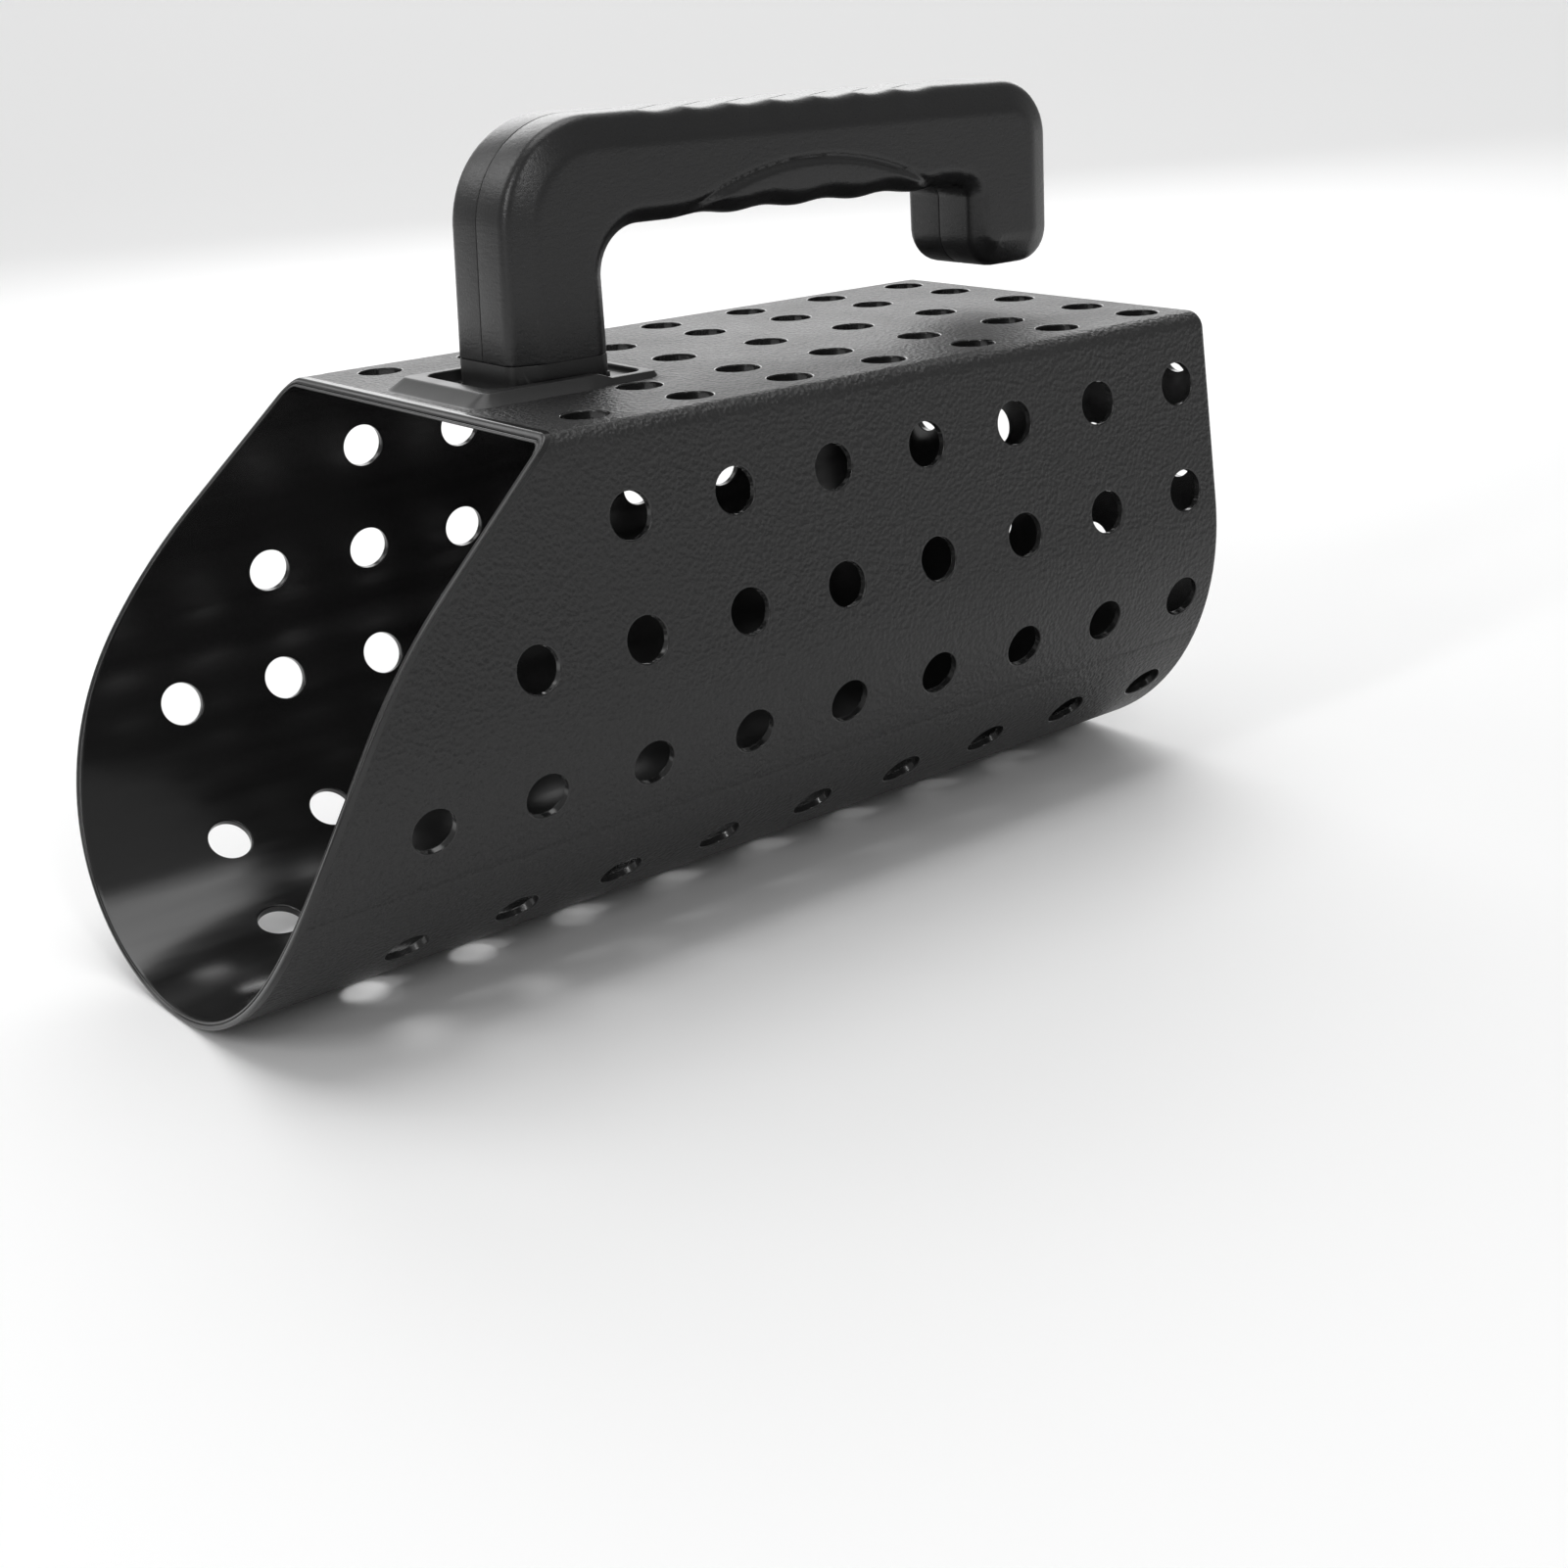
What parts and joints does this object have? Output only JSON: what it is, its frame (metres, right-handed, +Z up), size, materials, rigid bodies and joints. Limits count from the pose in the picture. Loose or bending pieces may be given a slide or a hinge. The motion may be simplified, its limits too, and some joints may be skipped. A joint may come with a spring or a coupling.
{
  "type": "beach sand scoop",
  "caption": "Hand-held sieve scoop: half-round perforated trough with a flat deck, closed rear, slanting mouth and a hook-shaped slide-in handle.",
  "frame": {"origin": "on the ground, under the middle of the object's box, with the keel lying level", "axes": "+X from the mouth to the rear wall, +Y across to the side with the screw heads, +Z up from the keel to the handle"},
  "size_m": [0.2377, 0.114, 0.1578],
  "materials": {
    "body_plastic": "fine leather grain outside, smooth and glossy inside",
    "grip_plastic": "satin, fine spark grain",
    "foot_plastic": "smooth satin",
    "screw_steel": "zinc plated"
  },
  "bodies": {
    "scoop": {"scoop_body": "body_plastic"},
    "handle": {"handle_left_shell": "grip_plastic", "handle_right_shell": "grip_plastic", "handle_foot": "foot_plastic", "shell_screws": "screw_steel", "foot_screws": "screw_steel"}
  },
  "joints": [
    {"name": "handle_slide", "type": "slide", "parent": "scoop", "child": "handle", "axis": [0.9995, 0, -0.0328], "range_m": [-0.006, 0]}
  ]
}
